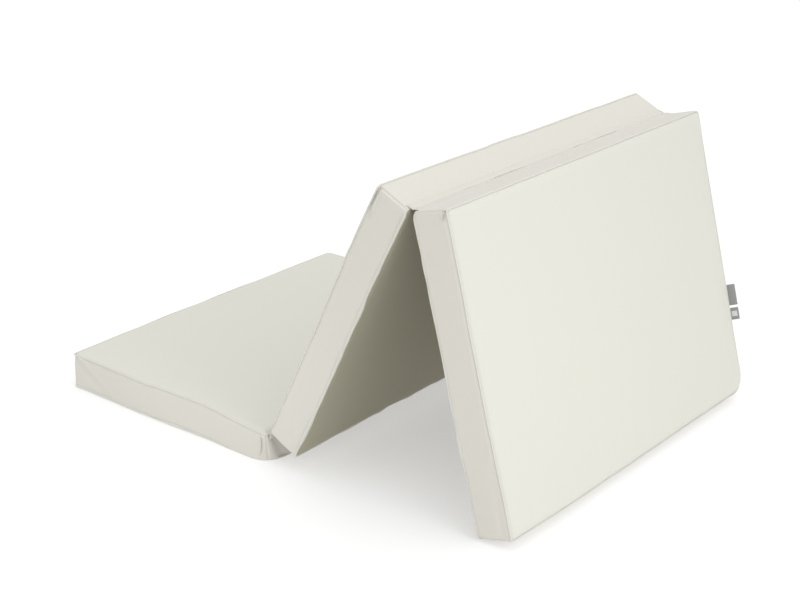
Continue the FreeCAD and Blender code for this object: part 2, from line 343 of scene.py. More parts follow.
def makeEnamel(name, base, speckScale, metallic, roughness):
    # nylon or enamelled metal with a slight mottling
    finish = Finish(name, {"Metallic": metallic, "Roughness": roughness, "Coat Roughness": 0.2})
    specks = finish.noise(finish.spots("Object", speckScale), detail=3)
    dark = tuple(value * 0.9 for value in base)
    finish.feed("Base Color", finish.blendColours(specks, dark, base))
    finish.feed("Roughness", specks * 0.15 + (roughness - 0.07))
    finish.bump(specks, 0.05 * mm)
    return finish.material


def makeThread():
    finish = Finish("ivoryThread", {"Roughness": 0.6, "Sheen Weight": 0.3})
    strands = finish.noise(finish.spots("Object", 2500), detail=1)
    finish.feed("Base Color", finish.blendColours(strands, (0.74, 0.72, 0.66), (0.86, 0.845, 0.79)))
    finish.bump(strands, 0.05 * mm)
    return finish.material


finishes["core_foam"] = makeFoam()
finishes["zip_coil"] = makeEnamel("nylonCoil", (0.83, 0.82, 0.77), 300, 0.0, 0.42)
finishes["zip_metal"] = makeEnamel("enamelledZipMetal", (0.80, 0.79, 0.745), 500, 0.25, 0.38)
threadFinish = makeThread()
print("materials made")


# camera, light and floor

viewpoint = {"place": (2.3593, -2.5657, 1.4733), "pan": 128.882, "tilt": -20.837, "roll": -0.303,
             "lens": 71.96, "sensor": 36}


def makeCamera():
    bpy.ops.object.camera_add(location=viewpoint["place"])
    camera = bpy.context.object
    pan, tilt = math.radians(viewpoint["pan"]), math.radians(viewpoint["tilt"])
    ahead = Vector((math.cos(pan) * math.cos(tilt), math.sin(pan) * math.cos(tilt), math.sin(tilt)))
    camera.rotation_mode = "QUATERNION"
    camera.rotation_quaternion = (ahead.to_track_quat("-Z", "Y")
                                  @ Quaternion((0, 0, 1), math.radians(viewpoint["roll"])))
    camera.data.sensor_width = viewpoint["sensor"]
    camera.data.lens = viewpoint["lens"]
    camera.data.clip_end = 60
    bpy.context.scene.camera = camera


studio = {
    "zenith": (1.24, 1.24, 1.24), "horizon": (0.57, 0.57, 0.575), "worldStrength": 1.0,
    "floorSide": 24, "floorColour": (0.56, 0.56, 0.555), "floorGlow": 0.42,
    "sun": {"name": "wideKeyLight", "from": (0.95, -0.2, 1.0), "spread": 60, "strength": 0.56},
    "lights": (
        {"name": "rightSoftbox", "place": (2.2, -0.7, 0.9), "aim": (0.8, -0.35, 0.3),
         "side": 0.7, "power": 5},
        {"name": "lowNearSoftbox", "place": (0.18, -1.05, 0.22), "aim": (0.2, -0.45, 0.05),
         "side": 0.35, "power": 0.42},
    ),
}


def makeStudio():
    world = bpy.context.scene.world or bpy.data.worlds.new("studio")
    bpy.context.scene.world = world
    world.use_nodes = True
    sky = world.node_tree
    background = sky.nodes["Background"]
    background.inputs["Strength"].default_value = studio["worldStrength"]
    towards = sky.nodes.new("ShaderNodeTexCoord")
    height = sky.nodes.new("ShaderNodeSeparateXYZ")
    ramp = sky.nodes.new("ShaderNodeValToRGB")
    ramp.color_ramp.elements[0].color = (*studio["horizon"], 1)
    ramp.color_ramp.elements[1].color = (*studio["zenith"], 1)
    sky.links.new(towards.outputs["Generated"], height.inputs[0])
    sky.links.new(height.outputs["Z"], ramp.inputs[0])
    sky.links.new(ramp.outputs[0], background.inputs["Color"])
    deselectAll()
    bpy.ops.mesh.primitive_plane_add(size=studio["floorSide"], location=(0, 0, -0.2 * mm))
    floor = bpy.context.object
    floor.name = "studioFloor"
    settle(floor)
    finish = Finish("paleFloor", {"Roughness": 0.9, "Specular IOR Level": 0.1})
    cloudy = finish.noise(finish.spots("Object", 0.8))
    shade = tuple(value * 0.99 for value in studio["floorColour"])
    finish.feed("Base Color", finish.blendColours(cloudy, shade, studio["floorColour"]))
    finish.shader.inputs["Emission Color"].default_value = (1, 1, 1, 1)
    finish.shader.inputs["Emission Strength"].default_value = studio["floorGlow"]
    floor.data.materials.append(finish.material)
    bpy.ops.object.light_add(type="SUN", location=(0, 0, 3))
    sun = bpy.context.object
    sun.name = studio["sun"]["name"]
    sun.data.energy = studio["sun"]["strength"]
    sun.data.angle = math.radians(studio["sun"]["spread"])
    sun.rotation_euler = (-Vector(studio["sun"]["from"])).to_track_quat("-Z", "Y").to_euler()
    for light in studio["lights"]:
        bpy.ops.object.light_add(type="AREA", location=light["place"])
        lamp = bpy.context.object
        lamp.name = light["name"]
        lamp.data.size = light["side"]
        lamp.data.energy = light["power"]
        lamp.visible_camera = False
        aim = Vector(light["aim"]) - Vector(light["place"])
        lamp.rotation_euler = aim.to_track_quat("-Z", "Y").to_euler()
    bpy.context.scene.view_settings.view_transform = "Standard"
    bpy.context.scene.view_settings.look = "None"


makeCamera()
makeStudio()
print("camera and studio made")


# where each section stands

def sectionPlace(section):
    along = Vector(jointFacts[section + "_zip_slide"]["axis"])
    if section == "head":
        along = -along
    across = Vector((0, 1, 0))
    up = along.cross(across)
    gap = mattress["foldGap"]
    if section == "foot":
        corner = Vector((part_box("foot_near_band")[0].x, 0, 0))
    elif section == "middle":
        corner = Vector(jointFacts["lower_fold"]["pos_m"]) + along * gap / 2 - up * (thickness + gap / 2)
    else:
        corner = Vector(jointFacts["upper_fold"]["pos_m"]) + along * gap / 2 + up * gap / 2
    place = Matrix((along, across, up)).transposed().to_4x4()
    place.translation = corner
    return place


places = {section: sectionPlace(section) for section in mattress["sections"]}
directions = {section: (place.col[0].to_3d(), place.col[2].to_3d()) for section, place in places.items()}

# one section's cover

nearby = 0.1 * mm  # a point this near a face, a seam or a level is on it
uprightCorners = [(alongEnd, acrossEnd) for alongEnd in (False, True) for acrossEnd in (False, True)]
cover = {
    "cellsAlong": 63, "cellsAcross": 90, "cellsUp": 8,
    "clothWall": 1.6 * mm, "sharpest": 50,  # degrees between faces that still shade as one
    "zipStart": 60 * mm, "zipEnd": 573 * mm, "zipLow": 30 * mm, "zipHigh": 50 * mm,
    "pullIn": 1.2 * mm,       # how far an edge may draw in between its corners
    "slide": 2.0 * mm,        # how far cloth may creep along the foam
    "seamSink": 1.4 * mm, "cornerSink": 0.9 * mm, "sinkReach": 5 * mm,
    "puckerReach": 26 * mm, "puckerHeight": 0.9 * mm, "puckersPerMetre": 42, "patchesPerMetre": 9,
    "swell": 0.9 * mm, "swellsPerMetre": 6, "swellReach": 50 * mm, "pressedShare": 0.45,
    "zipCalm": 12 * mm, "zipCalmReach": 14 * mm,  # half height that stays smooth by the zip, and its fade
    "cornerRound": 10 * mm, "floorCornerRound": 46 * mm, "foldCornerRound": 52 * mm,
    "puckerUpScale": 9, "seedStep": 7.3,
}
puff = {
    "pressure": 4.0, "frames": 20, "quality": 4, "mass": 0.3, "stretchStiffness": 30, "bendStiffness": 2,
    "heldHalf": 16 * mm, "heldPast": 6 * mm,  # cloth held above and below the zip, and past its ends
    "quickShares": (0.01, 0.01, 0.2),
}
# how far each side may puff out: under and top, near and far, foot end and head end
puffLimits = {
    "foot": {"x": (4.0 * mm, 0.6 * mm), "y": (3.6 * mm, 3.0 * mm), "z": (0.2 * mm, 0.6 * mm)},
    "middle": {"x": (0.6 * mm, 0.6 * mm), "y": (4.0 * mm, 3.0 * mm), "z": (0.6 * mm, 0.6 * mm)},
    "head": {"x": (0.6 * mm, 3.0 * mm), "y": (4.0 * mm, 3.0 * mm), "z": (0.6 * mm, 3.5 * mm)},
}
panels = ("top_panel", "under_panel", "near_band", "far_band", "foot_end_band", "head_end_band")
panelSlots = ("cover_cloth", "under_cloth", "band_cloth", "band_cloth", "band_cloth", "band_cloth")


def makeSlab(section):
    deselectAll()
    bpy.ops.mesh.primitive_grid_add(x_subdivisions=cover["cellsAlong"], y_subdivisions=cover["cellsAcross"],
                                    size=1, location=(length / 2, 0, 0))
    slab = bpy.context.object
    slab.name = section + "_slab"
    slab.scale = (length, width, 1)
    settle(slab)
    bpy.ops.object.mode_set(mode="EDIT")
    bpy.ops.mesh.select_all(action="SELECT")
    bpy.ops.mesh.extrude_region_move(TRANSFORM_OT_translate={"value": (0, 0, thickness)})
    bpy.ops.mesh.select_all(action="SELECT")
    bpy.ops.mesh.normals_make_consistent(inside=False)
    bpy.ops.object.mode_set(mode="OBJECT")
    heights = pointsOf(slab)[edgeEnds(slab)][:, :, 2]
    editWith(slab, "EDGE", np.abs(heights[:, 0] - heights[:, 1]) > thickness / 2)
    bpy.ops.mesh.subdivide(number_cuts=cover["cellsUp"] - 1)
    bpy.ops.object.mode_set(mode="OBJECT")
    points = pointsOf(slab)
    for column in (cover["zipStart"], cover["zipEnd"]):  # a row of cells ends where the zip does
        points[np.abs(points[:, 0] - column) < 2 * mm, 0] = column
    setPoints(slab, points)
    cut = slab.data.attributes.new("cut", "FLOAT_VECTOR", "POINT")
    cut.data.foreach_set("vector", points.ravel())
    unfold(slab)
    for slot in panelSlots:
        slab.data.materials.append(finishes[slot])
    facing = readOut(slab.data.polygons, "normal")
    sides = ((2, 1), (2, -1), (1, -1), (1, 1), (0, -1), (0, 1))  # axis and sign of each panel in turn
    numbers = np.zeros(len(facing), int)
    for number, (axis, sign) in enumerate(sides):
        numbers[facing[:, axis] * sign > 0.5] = number
    slab.data.polygons.foreach_set("material_index", numbers)
    return slab


def puffedMoves(slab, flat):
    # the cloth blown out from inside, held still round the zip
    held = slab.vertex_groups.new(name="held")
    zipRows = ((flat[:, 1] > halfWidth - mm) & (np.abs(flat[:, 2] - thickness / 2) < puff["heldHalf"])
               & (flat[:, 0] > cover["zipStart"] - puff["heldPast"])
               & (flat[:, 0] < cover["zipEnd"] + puff["heldPast"]))
    held.add([int(number) for number in np.nonzero(zipRows)[0]], 1.0, "REPLACE")
    activate(slab)
    cloth = slab.modifiers.new("puff", "CLOTH")
    cloth.settings.quality = puff["quality"]
    cloth.settings.mass = puff["mass"]
    cloth.settings.tension_stiffness = puff["stretchStiffness"]
    cloth.settings.compression_stiffness = puff["stretchStiffness"]
    cloth.settings.bending_stiffness = puff["bendStiffness"]
    cloth.settings.vertex_group_mass = "held"
    cloth.settings.use_pressure = True
    cloth.settings.uniform_pressure_force = puff["pressure"]
    cloth.settings.effector_weights.gravity = 0
    cloth.collision_settings.use_collision = False
    cloth.point_cache.frame_end = puff["frames"]
    for step in range(1, puff["frames"] + 1):
        bpy.context.scene.frame_set(step)
    bpy.ops.object.modifier_apply(modifier="puff")
    bpy.context.scene.frame_set(1)
    return pointsOf(slab) - flat


def limitMoves(section, flat, moves):
    low, high = (0, -halfWidth, 0), (length, halfWidth, thickness)
    limited = np.empty_like(moves)
    for axis, name in enumerate("xyz"):
        outLow, outHigh = puffLimits[section][name]
        onLow = np.abs(flat[:, axis] - low[axis]) < nearby
        onHigh = np.abs(flat[:, axis] - high[axis]) < nearby
        down = np.where(onLow, outLow, np.where(onHigh, cover["pullIn"], cover["slide"]))
        up = np.where(onHigh, outHigh, np.where(onLow, cover["pullIn"], cover["slide"]))
        limit = np.where(moves[:, axis] < 0, down, up)
        limited[:, axis] = limit * np.tanh(moves[:, axis] / limit)
    return flat + limited


def roundCorner(points, alongEnd, acrossEnd, radius):
    # turns a square upright corner into a quarter round, of one radius or one for each point
    radius = np.broadcast_to(radius, len(points))
    signs = (1 if alongEnd else -1, 1 if acrossEnd else -1)
    corner = (length if alongEnd else 0, halfWidth if acrossEnd else -halfWidth)
    run = (points[:, 0] - corner[0]) * signs[0] + radius
    rise = (points[:, 1] - corner[1]) * signs[1] + radius
    inside = (run > 0) & (rise > 0)
    share = np.ones(len(points))
    share[inside] = np.maximum(run, rise)[inside] / np.hypot(run, rise)[inside]
    points[inside, 0] = corner[0] + signs[0] * (run * share - radius)[inside]
    points[inside, 1] = corner[1] + signs[1] * (rise * share - radius)[inside]


def cornerRadius(section, alongEnd, acrossEnd, heights):
    # two corners are rubbed rounder: the head's far one on the floor, and the foot's by the fold
    if section == "head" and alongEnd and acrossEnd:
        return cover["floorCornerRound"]
    if section == "foot" and alongEnd and not acrossEnd:
        low = 1 - heights / thickness
        return cover["cornerRound"] + (cover["foldCornerRound"] - cover["cornerRound"]) * low
    return cover["cornerRound"]


# creases pressed into a band, fading from start to end, in the section's frame; one with a
# depth below 0 stands out
creaseFade = 0.6
creases = {
    "foot": (
        {"start": (4 * mm, -halfWidth, 72 * mm), "end": (118 * mm, -halfWidth, 8 * mm),
         "spread": 8 * mm, "depth": 4.6 * mm},
        {"start": (26 * mm, -halfWidth, 76 * mm), "end": (84 * mm, -halfWidth, 40 * mm),
         "spread": 7 * mm, "depth": -2.6 * mm},
        {"start": (length, 26 * mm - halfWidth, 76 * mm), "end": (length, 46 * mm - halfWidth, 4 * mm),
         "spread": 12 * mm, "depth": 14 * mm},
    ),
    "middle": (
        {"start": (632 * mm, -halfWidth, 76 * mm), "end": (566 * mm, -halfWidth, 71 * mm),
         "spread": 4.5 * mm, "depth": 6.5 * mm},
        {"start": (6 * mm, -halfWidth, 10 * mm), "end": (70 * mm, -halfWidth, 52 * mm),
         "spread": 8 * mm, "depth": 1.4 * mm},
    ),
    "head": (
        {"start": (1 * mm, -halfWidth, 74 * mm), "end": (12 * mm, -halfWidth, 71 * mm),
         "spread": 4.5 * mm, "depth": 10 * mm},
        {"start": (58 * mm, -halfWidth, 1 * mm), "end": (84 * mm, -halfWidth, 1 * mm),
         "spread": 8 * mm, "depth": -4.5 * mm},
        {"start": (628 * mm, -halfWidth, 62 * mm), "end": (470 * mm, -halfWidth, 70 * mm),
         "spread": 7 * mm, "depth": 1.8 * mm},
        {"start": (60 * mm, -halfWidth, 4 * mm), "end": (96 * mm, -halfWidth, 14 * mm),
         "spread": 9 * mm, "depth": 2.2 * mm},
    ),
}


def pressCrease(points, flat, normals, crease):
    start, end = np.array(crease["start"]), np.array(crease["end"])
    run = end - start
    reach = np.linalg.norm(run)
    share = np.clip((flat - start) @ run / reach ** 2, 0, 1)
    away = np.linalg.norm(flat - (start + share[:, None] * run), axis=1)
    strength = np.exp(-(away / crease["spread"]) ** 2) * (1 - creaseFade * share)
    return points - normals * (crease["depth"] * strength)[:, None]


def shapeSlab(section, slab):
    flat = cutOf(slab)
    seed = cover["seedStep"] * mattress["sections"].index(section)
    points, normals = pointsOf(slab), normalsOf(slab)
    # distances from the two seams and the four upright corners, on the flat cover
    fromEnd = np.minimum(flat[:, 0], length - flat[:, 0])
    fromSide = halfWidth - np.abs(flat[:, 1])
    fromFace = np.minimum(flat[:, 2], thickness - flat[:, 2])
    onFace = fromFace < nearby
    onSide = fromSide < nearby
    fromSeam = np.where(onFace, np.minimum(fromEnd, fromSide), fromFace)
    fromCorner = np.where(onFace, 1.0, np.where(onSide, fromEnd, fromSide))
    fromZip = np.maximum(np.abs(flat[:, 2] - thickness / 2) - cover["zipCalm"], 0)
    zipCalm = np.where(onSide & (flat[:, 1] > 0), 1 - fade(fromZip, cover["zipCalmReach"]), 1)
    byLength = np.where(onFace, fromSide < fromEnd, onSide)
    spread = cover["puckersPerMetre"]
    upScale = cover["puckerUpScale"]
    alongSeam = np.where(byLength, flat[:, 0], flat[:, 1]) * spread
    spots = np.stack((alongSeam, seed + 3 * byLength, flat[:, 2] * upScale), axis=1)
    wave = np.array([noise.noise(Vector(spot)) for spot in spots])
    patchy = 0.5 + ripple(flat, cover["patchesPerMetre"], seed + 20)
    lift = wave * patchy * cover["puckerHeight"] * fade(fromSeam, cover["puckerReach"])
    swell = ripple(flat, cover["swellsPerMetre"], seed + 50) * cover["swell"]
    lift += swell * (1 - fade(fromSeam, cover["swellReach"]))
    lift *= zipCalm
    # every face but the head's top can fold onto another
    pressed = onFace & ~((section == "head") & (flat[:, 2] > thickness / 2))
    lift[pressed] *= cover["pressedShare"]
    lift -= cover["seamSink"] * fade(fromSeam, cover["sinkReach"])
    lift -= cover["cornerSink"] * fade(fromCorner, cover["sinkReach"]) * (fromSeam > nearby)
    points = points + normals * lift[:, None]
    for crease in creases[section]:
        points = pressCrease(points, flat, normals, crease)
    return points


def edgeLoop(slab, name, chosen):
    # a copy of the chosen edges as a curve
    loop = splitOff(slab, "EDGE", chosen, copied=True)
    loop.name = name
    activate(loop)
    bpy.ops.object.convert(target="CURVE")
    return bpy.context.object


def onLevel(slab, height):
    # edges that run round the slab at one height of its flat cover
    ends = cutOf(slab)[edgeEnds(slab)]
    level = np.all(np.abs(ends[:, :, 2] - height) < nearby, axis=1)
    rim = np.minimum(np.minimum(ends[:, :, 0], length - ends[:, :, 0]), halfWidth - np.abs(ends[:, :, 1]))
    return level & np.all(rim < nearby, axis=1)


seam = {
    "beadRadius": {"top": 1.5 * mm, "under": 2.5 * mm}, "middleShare": 1.3,
    "foldShare": 0.18, "foldReach": 10 * mm,      # how thin a roll gets beside a fold, and how near
    "standing": 1.4 * mm, "beadWobble": {"top": 0.16, "under": 0.5}, "wobblesPerMetre": 28,
    "stitchLength": 2.6 * mm, "stitchRadius": 0.28 * mm, "stitchGap": 1.5, "stitchDrop": 5 * mm,
}


def seamRadius(section, side):
    return seam["beadRadius"][side] * (seam["middleShare"] if section == "middle" else 1)


def seamDrop(section, side):
    # a thick roll sits lower on the band, so that folded sections still lie flat together
    return max(seamRadius(section, side) - seam["standing"], 0)


def makeBead(loop, section, side):
    # the rolled seam: a soft round roll along the edge, a little uneven, and thin under a fold's cloth
    deselectAll()
    folds = [Vector(jointFacts[name]["pos_m"]) for name in ("lower_fold", "upper_fold")]
    for spline in loop.data.splines:
        for point in spline.points:
            fromFold = min(math.hypot(point.co.x - axis.x, point.co.z - axis.z) for axis in folds)
            share = min(max((fromFold - seam["foldReach"]) / seam["foldReach"], 0), 1)
            wobble = seam["beadWobble"][side] * noise.noise(point.co.to_3d() * seam["wobblesPerMetre"])
            point.radius = (seam["foldShare"] + (1 - seam["foldShare"]) * share) * (1 + wobble)
    loop.data.bevel_depth = seamRadius(section, side)
    loop.data.bevel_resolution = 2
    activate(loop)
    bpy.ops.object.convert(target="MESH")
    bead = bpy.context.object
    bpy.ops.object.mode_set(mode="EDIT")
    bpy.ops.mesh.select_all(action="SELECT")
    bpy.ops.mesh.remove_doubles(threshold=0.01 * mm)
    bpy.ops.mesh.normals_make_consistent(inside=False)
    unfold(bead)
    bpy.ops.object.shade_smooth()
    return bead


def makeStitches(loop, name):
    deselectAll()
    bpy.ops.mesh.primitive_uv_sphere_add(segments=5, ring_count=4, radius=1,
                                         location=(seam["stitchLength"] / 2, 0, 0))
    stitch = bpy.context.object
    stitch.name = name
    stitch.rotation_euler = (0, math.pi / 2, 0)
    stitch.scale = (seam["stitchRadius"], seam["stitchRadius"], seam["stitchLength"] / 2)
    settle(stitch)
    row = stitch.modifiers.new("row", "ARRAY")
    row.fit_type = "FIT_CURVE"
    row.curve = loop
    row.relative_offset_displace = (seam["stitchGap"], 0, 0)
    bend = stitch.modifiers.new("bend", "CURVE")
    bend.object = loop
    bpy.ops.object.modifier_apply(modifier="row")
    bpy.ops.object.modifier_apply(modifier="bend")
    bpy.data.objects.remove(loop)
    stitch.data.materials.append(threadFinish)
    bpy.ops.object.shade_smooth()
    return stitch


# soft pulls where the foam sags or stands off its plain shape, in the frame the mattress stands in
pulls = (
    {"section": "foot", "centre": (318 * mm, -halfWidth, 81 * mm), "reach": 230 * mm,
     "shift": (-8 * mm, -7 * mm, -13 * mm)},
    {"section": "middle", "centre": (322 * mm, -halfWidth, 70 * mm), "reach": 260 * mm,
     "shift": (-6 * mm, -6 * mm, -9 * mm)},
    {"section": "middle", "centre": (392 * mm, -halfWidth, 46 * mm), "reach": 120 * mm,
     "shift": (-4 * mm, 0, -5 * mm)},
    {"section": "foot", "centre": (-316 * mm, -halfWidth, 60 * mm), "reach": 300 * mm,
     "shift": (8 * mm, 10 * mm, 1 * mm)},
    {"section": "head", "centre": (860 * mm, -halfWidth, 10 * mm), "reach": 300 * mm,
     "shift": (-1 * mm, 2 * mm, 4 * mm)},
)
bow = {"section": "middle", "centre": 400 * mm, "reach": 330 * mm, "height": 4 * mm}


def softPull(section, points):
    for pull in pulls:
        if pull["section"] == section:
            away = np.linalg.norm(points - np.array(pull["centre"]), axis=1)
            points = points + fade(away, pull["reach"])[:, None] * np.array(pull["shift"])
    return points


def bowed(section, points):
    # the middle section leans with a slight bow, more on the near side
    if section == bow["section"]:
        nearness = np.clip(0.5 - points[:, 1] / width, 0, 1)
        points[:, 2] += bow["height"] * fade(points[:, 0] - bow["centre"], bow["reach"]) * nearness
    return points


def rest(section, points):
    # from the section's frame to its place, on the floor and not through it
    place = np.array(places[section])
    points = points @ place[:3, :3].T + place[:3, 3]
    points = softPull(section, points)
    points[:, 2] = np.maximum(points[:, 2], 0)
    return points


def declare(piece, section, nodes):
    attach(piece, section + "_section")
    if nodes:
        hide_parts(*nodes)


def makeCover(section):
    slab = makeSlab(section)
    flat = pointsOf(slab)
    setPoints(slab, limitMoves(section, flat, puffedMoves(slab, flat)))
    applyModifier(slab, "finer", "SUBSURF", levels=1, render_levels=1)
    cloth = pointsOf(slab)
    sewn = shapeSlab(section, slab)
    heights = cutOf(slab)[:, 2]
    for points in (cloth, sewn):
        for alongEnd, acrossEnd in uprightCorners:
            roundCorner(points, alongEnd, acrossEnd, cornerRadius(section, alongEnd, acrossEnd, heights))
    cloth[:, 2] += seamDrop(section, "under") * (heights < nearby)
    cloth[:, 2] -= seamDrop(section, "top") * (heights > thickness - nearby)
    cloth, sewn = rest(section, bowed(section, cloth)), rest(section, bowed(section, sewn))
    # beads follow the cloth's edges, and stitches lie on the sewn band
    setPoints(slab, cloth)
    beads = [edgeLoop(slab, f"{section}_{side}_seam_roll", onLevel(slab, height))
             for side, height in (("top", thickness), ("under", 0))]
    setPoints(slab, sewn)
    drop = seam["stitchDrop"]
    threads = [edgeLoop(slab, f"{section}_{side}_thread_line", onLevel(slab, height))
               for side, height in (("top", thickness - drop), ("under", drop))]
    for side, bead in zip(("top", "under"), beads):
        bead = makeBead(bead, section, side)
        keepAboveFloor(bead)
        bead.data.materials.clear()
        bead.data.materials.append(finishes["seam_cloth"])
        declare(bead, section, [f"{section}_{side}_seam"])
    for side, loop in zip(("top", "under"), threads):
        stitches = makeStitches(loop, f"{section}_{side}_stitches")
        declare(stitches, section, [])
    flaps = makeTucks(section, slab)
    partSlab(section, slab)
    band = bpy.data.objects[section + "_near_band_cloth"]
    activate(band)
    for flap in flaps:
        flap.select_set(True)
    bpy.ops.object.join()


# small tucks where the near band is gathered: ends in the section's frame, x and z
tucks = {
    "foot": ({"start": (616 * mm, 76 * mm), "end": (606 * mm, 20 * mm), "width": 9 * mm, "lift": 5 * mm},),
    "middle": ({"start": (630 * mm, 66 * mm), "end": (572 * mm, 64 * mm), "width": -6 * mm, "lift": 4 * mm},),
    "head": ({"start": (1 * mm, 62 * mm), "end": (22 * mm, 64 * mm), "width": 7 * mm, "lift": 5 * mm},),
}
flapShape = {"cellsAlong": 20, "cellsAcross": 4, "follow": 4 * mm, "sunk": 0.7 * mm, "wall": 0.9 * mm,
             "roundness": 0.6}


def makeTucks(section, slab):
    # a tuck is a narrow flap that leaves the band along one edge and stands off it at the other
    flat, points = cutOf(slab), pointsOf(slab)
    onBand = flat[:, 1] < nearby - halfWidth
    flat, points = flat[onBand], points[onBand]
    made = []
    for tuck in tucks[section]:
        flap = addGrid(section + "_tuck", flapShape["cellsAlong"], flapShape["cellsAcross"])
        run = Vector(tuck["end"]) - Vector(tuck["start"])
        sideways = Vector((-run.y, run.x)).normalized() * tuck["width"]
        placed = []
        for x, y, z in pointsOf(flap):
            along, across = x + 0.5, y + 0.5
            swell = math.sin(math.pi * along) ** flapShape["roundness"]
            where = Vector(tuck["start"]) + run * along + sideways * across * swell
            away = (flat[:, 0] - where.x) ** 2 + (flat[:, 2] - where.y) ** 2
            weights = np.exp(-away / flapShape["follow"] ** 2)
            surface = weights @ points / weights.sum()
            surface[1] += flapShape["sunk"] - tuck["lift"] * swell * across
            placed.append(surface)
        setPoints(flap, np.array(placed))
        unfold(flap)
        flap.data.materials.append(finishes["band_cloth"])
        applyModifier(flap, "wall", "SOLIDIFY", thickness=flapShape["wall"], offset=0)
        bpy.ops.object.shade_smooth()
        made.append(flap)
    return made


def partSlab(section, slab):
    # takes the panels off one by one; the slab that is left is the last of them
    for number, panel in enumerate(panels):
        piece = slab
        if panel != panels[-1]:
            piece = splitOff(slab, "FACE", panelNumbers(slab) == number)
        piece.name = f"{section}_{panel}_cloth"
        if panel == "far_band":
            openZip(piece)
        piece.data.materials.clear()
        piece.data.materials.append(finishes[panelSlots[number]])
        piece.data.polygons.foreach_set("material_index", np.zeros(len(piece.data.polygons), int))
        applyModifier(piece, "wall", "SOLIDIFY", thickness=cover["clothWall"], offset=-1)
        keepAboveFloor(piece)
        bpy.ops.object.shade_smooth_by_angle(angle=math.radians(cover["sharpest"]))
        piece.data.attributes.remove(piece.data.attributes["cut"])
        declare(piece, section, [f"{section}_{panel}"])


def openZip(band):
    flat = cutOf(band)
    centres = np.array([flat[list(face.vertices)].mean(axis=0) for face in band.data.polygons])
    inLength = (centres[:, 0] > cover["zipStart"]) & (centres[:, 0] < cover["zipEnd"])
    inHeight = (centres[:, 2] > cover["zipLow"]) & (centres[:, 2] < cover["zipHigh"])
    editWith(band, "FACE", inLength & inHeight)
    bpy.ops.mesh.delete(type="FACE")
    bpy.ops.object.mode_set(mode="OBJECT")


# foam core: a cut block with eased edges and a shallow groove behind the zip

core = {"faceInset": 4.5 * mm, "sideInset": 7.5 * mm, "cornerSteps": 6, "ease": 3 * mm,
        "groove": 4 * mm, "grooveHalf": 6 * mm}


def makeCore(section):
    deselectAll()
    bpy.ops.mesh.primitive_cube_add(size=1, location=(length / 2, 0, thickness / 2))
    block = bpy.context.object
    block.name = section + "_foam"
    block.scale = (length - 2 * core["sideInset"], width - 2 * core["sideInset"],
                   thickness - 2 * core["faceInset"])
    settle(block)
    bpy.ops.object.mode_set(mode="EDIT")
    for height in (thickness / 2 - core["grooveHalf"], thickness / 2 + core["grooveHalf"]):
        bpy.ops.mesh.select_all(action="SELECT")
        bpy.ops.mesh.bisect(plane_co=(0, 0, height), plane_no=(0, 0, 1))
    for run in (cover["zipStart"], cover["zipEnd"]):
        bpy.ops.mesh.select_all(action="SELECT")
        bpy.ops.mesh.bisect(plane_co=(run, 0, 0), plane_no=(1, 0, 0))
    bpy.ops.object.mode_set(mode="OBJECT")
    farSide = halfWidth - core["sideInset"]
    grooved = [abs(face.center.y - farSide) < mm and abs(face.center.z - thickness / 2) < core["grooveHalf"]
               and cover["zipStart"] < face.center.x < cover["zipEnd"] for face in block.data.polygons]
    editWith(block, "FACE", grooved)
    bpy.ops.mesh.extrude_region_move(TRANSFORM_OT_translate={"value": (0, -core["groove"], 0)})
    bpy.ops.object.mode_set(mode="OBJECT")
    for alongEnd, acrossEnd in uprightCorners:
        corner = (length - core["sideInset"] if alongEnd else core["sideInset"],
                  farSide * (1 if acrossEnd else -1))
        away = np.abs(pointsOf(block)[edgeEnds(block)][:, :, :2] - corner)
        editWith(block, "EDGE", np.all(away < mm, axis=(1, 2)))
        radius = cornerRadius(section, alongEnd, acrossEnd, 0)
        bpy.ops.mesh.bevel(offset=radius, segments=core["cornerSteps"])
        bpy.ops.object.mode_set(mode="OBJECT")
    applyModifier(block, "ease", "BEVEL", width=core["ease"], segments=3, limit_method="ANGLE")
    applyModifier(block, "finer", "SUBSURF", levels=2, render_levels=2, subdivision_type="SIMPLE")
    setPoints(block, rest(section, bowed(section, pointsOf(block))))
    block.data.materials.append(finishes["core_foam"])
    bpy.ops.object.shade_smooth_by_angle(angle=math.radians(40))
    declare(block, section, [section + "_foam_core"])


for section in mattress["sections"]:
    makeCover(section)
    makeCore(section)
    print(section, "section's cover, seams and core made")


# zips: twill tapes and nylon coil rows; the sliders, pulls and end stops keep their own shapes

zipSizes = {
    "plane": halfWidth - 1.25 * mm, "tapeWall": 0.7 * mm, "rowGap": 0.7 * mm, "rowHeight": 2.6 * mm,
    "rowDepth": 2.2 * mm, "pitch": 1.5 * mm, "wire": 0.34 * mm, "stop": 3 * mm,
    "climb": 0.12, "tapeSag": 0.15 * mm, "sagsPerMetre": 60, "tapeCells": (120, 6),
}


def carry(piece, section):
    points = pointsOf(piece)
    place = np.array(places[section])
    setPoints(piece, points @ place[:3, :3].T + place[:3, 3])


